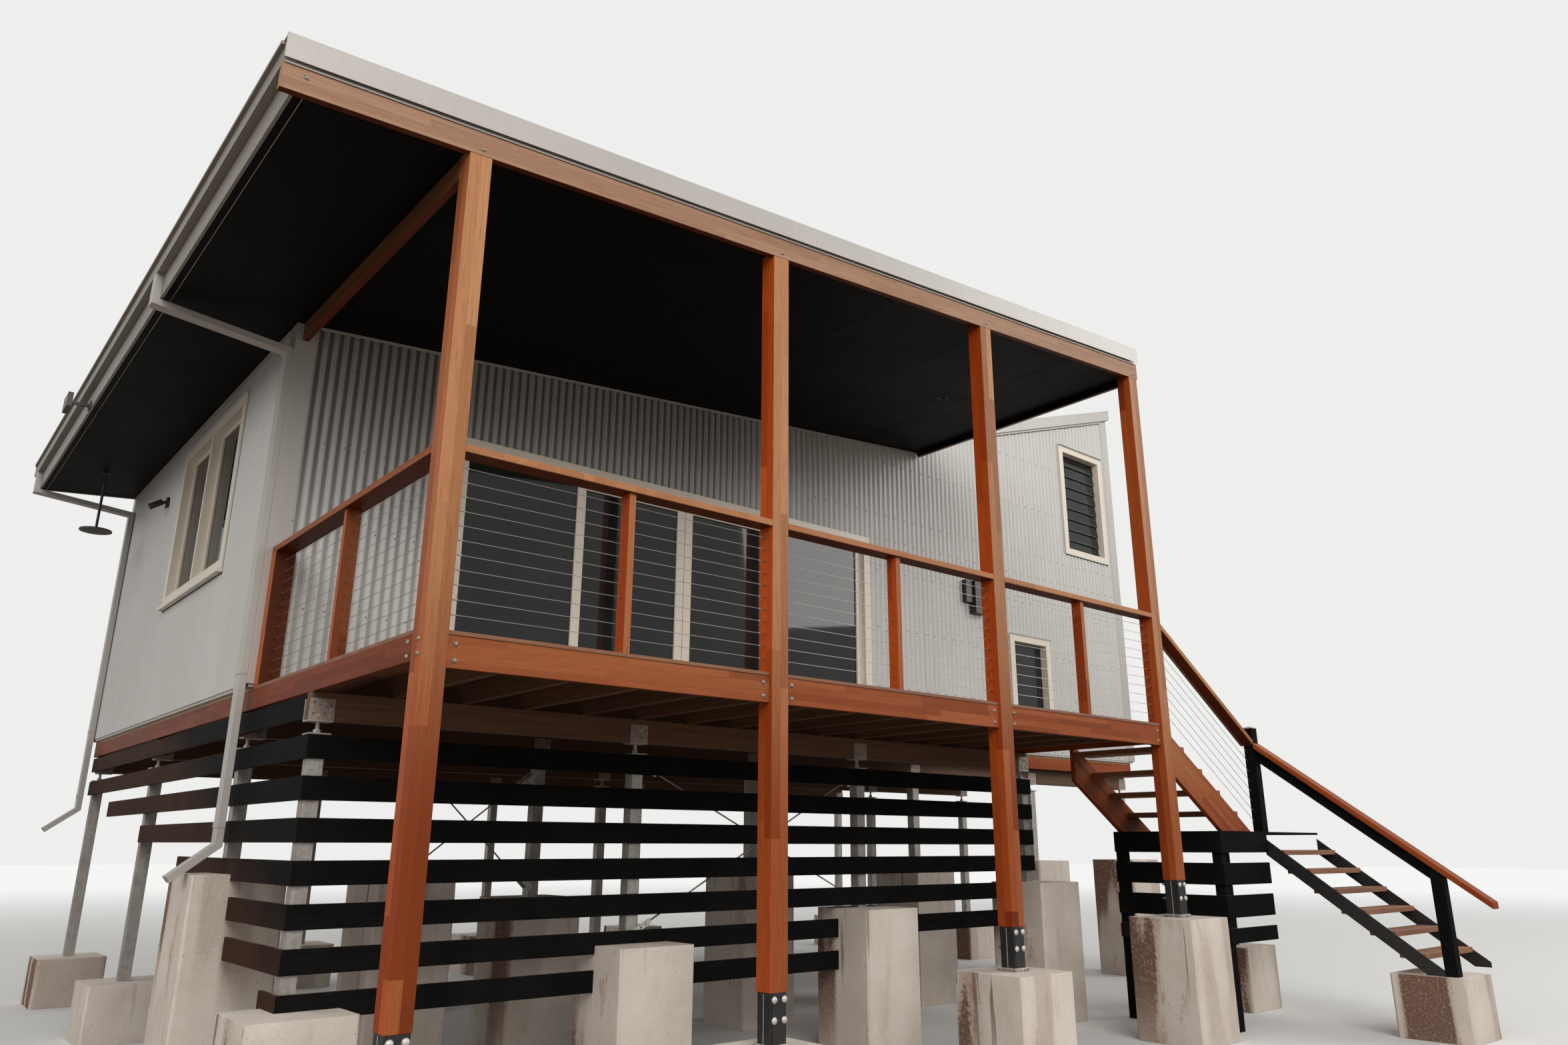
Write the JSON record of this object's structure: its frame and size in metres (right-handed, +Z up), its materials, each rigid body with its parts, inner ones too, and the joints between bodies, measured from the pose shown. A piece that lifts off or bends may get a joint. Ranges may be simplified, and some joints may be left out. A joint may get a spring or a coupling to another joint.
{
  "type": "stilt house",
  "caption": "Timber and corrugated steel house raised on stumps, with a roofed timber deck, cable balustrade, glazed sliding doors and an outside stair with a landing.",
  "frame": {"origin": "centre of the underside of the front left concrete pier", "axes": "+X to the right along the front of the deck, +Y from the front of the deck to the back of the house, +Z up"},
  "size_m": [12.3425, 10.6923, 7.6483],
  "materials": {
    "concrete": "cast concrete, stained and chipped",
    "black_steel": "black painted steel plate",
    "post_timber": "oiled laminated hardwood",
    "galvanised_steel": "hot-dip galvanised steel",
    "frame_timber": "sawn structural timber",
    "deck_timber": "oiled hardwood boards",
    "floor_sheet": "plain sheet flooring",
    "wall_lining": "painted wall lining",
    "cladding_steel": "light grey corrugated steel",
    "cream_frame": "cream powder-coated aluminium",
    "glass": "clear glass",
    "black_lining": "dark satin soffit panel",
    "roof_steel": "corrugated roof steel",
    "flashing_steel": "light grey folded steel",
    "black_slat": "black stained timber",
    "stainless_cable": "stainless steel cable and fittings"
  },
  "bodies": {
    "house": {"front_piers": "concrete", "stump_blocks": "concrete", "post_shoes": "black_steel", "deck_posts": "post_timber", "steel_stumps": "galvanised_steel", "cross_braces": "galvanised_steel", "bearers": "frame_timber", "rim_boards": "post_timber", "joists": "frame_timber", "deck_boards": "deck_timber", "house_floor": "floor_sheet", "front_wall_left": "wall_lining", "front_wall_over_door": "wall_lining", "front_wall_right": "wall_lining", "left_wall": "wall_lining", "back_wall": "wall_lining", "right_wall": "wall_lining", "wall_cladding": "cladding_steel", "corner_flashings": "flashing_steel", "window_frames": "cream_frame", "fixed_glass": "glass", "louvre_blades": "glass", "door_frame": "cream_frame", "roof_beams": "post_timber", "soffit_panels": "black_lining", "purlins": "frame_timber", "roof_sheets": "roof_steel", "roof_caps": "flashing_steel", "eave_fascia": "flashing_steel", "gutter": "flashing_steel", "downpipes": "flashing_steel", "outdoor_fittings": "black_steel", "slat_screens": "black_slat", "handrails": "post_timber", "balusters": "post_timber", "rail_cables": "stainless_cable", "stair_stringers": "post_timber", "lower_stringers": "black_steel", "stair_treads": "deck_timber", "landing": "black_slat", "stair_posts": "black_slat"},
    "left_sliding_door": {"left_door_leaf": "cream_frame", "left_door_glass": "glass"},
    "right_sliding_door": {"right_door_leaf": "cream_frame", "right_door_glass": "glass"}
  },
  "joints": [
    {"name": "left_door_slide", "type": "slide", "parent": "house", "child": "left_sliding_door", "axis": [-1, 0, 0], "range_m": [0, 1.07]},
    {"name": "right_door_slide", "type": "slide", "parent": "house", "child": "right_sliding_door", "axis": [1, 0, 0], "range_m": [0, 1.07]}
  ]
}
